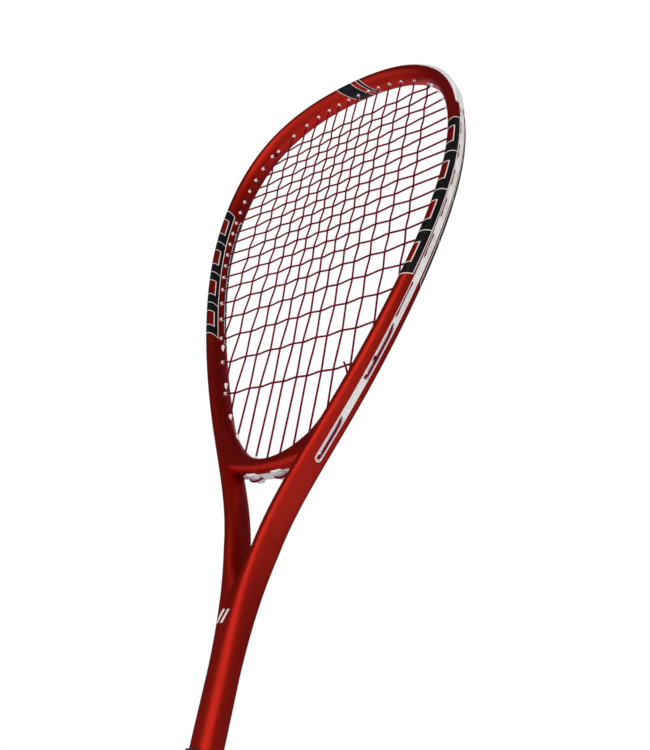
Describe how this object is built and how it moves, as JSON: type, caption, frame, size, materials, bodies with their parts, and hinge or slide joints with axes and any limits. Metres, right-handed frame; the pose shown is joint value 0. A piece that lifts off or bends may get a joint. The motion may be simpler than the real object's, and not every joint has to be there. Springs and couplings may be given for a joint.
{
  "type": "squash racket",
  "caption": "Squash racket with a teardrop head, an open throat, a woven string bed, a clear bumper guard and a wrapped handle.",
  "frame": {"origin": "middle of the flat end of the butt cap", "axes": "+Z from the butt to the tip of the head, +X across the head in the plane of the strings, +Y through the string bed"},
  "size_m": [0.2108, 0.0306, 0.6854],
  "materials": {
    "lacquer": "metallic red lacquer over moulded carbon fibre, satin gloss",
    "clear_nylon": "clear moulded nylon, slightly frosted",
    "string": "dark red multifilament string with a smooth coat",
    "foam": "dense moulded foam",
    "cap_plastic": "fine-textured moulded plastic",
    "plug_plastic": "smooth moulded plastic",
    "steel": "plain steel wire",
    "grip": "cushioned polyurethane grip with a tacky perforated face",
    "tape": "thin adhesive tape",
    "rubber": "soft moulded rubber, satin"
  },
  "bodies": {
    "racket": {"frame": "lacquer", "bridge": "lacquer", "bumper_guard": "clear_nylon", "right_grommet_strip": "clear_nylon", "left_grommet_strip": "clear_nylon", "bridge_grommet_strip": "clear_nylon", "main_string": "string", "cross_string": "string", "tie_off_knots": "string", "front_pallet": "foam", "back_pallet": "foam", "bore_plugs": "foam", "butt_cap": "cap_plastic", "butt_plug": "plug_plastic", "cap_staples": "steel", "grip_wrap": "grip", "wrap_tack": "steel", "finishing_tape": "tape"},
    "collar": {"rubber_collar": "rubber"}
  },
  "joints": [
    {"name": "collar_slide", "type": "slide", "parent": "racket", "child": "collar", "axis": [0, 0, 1], "range_m": [0, 0.03]}
  ]
}
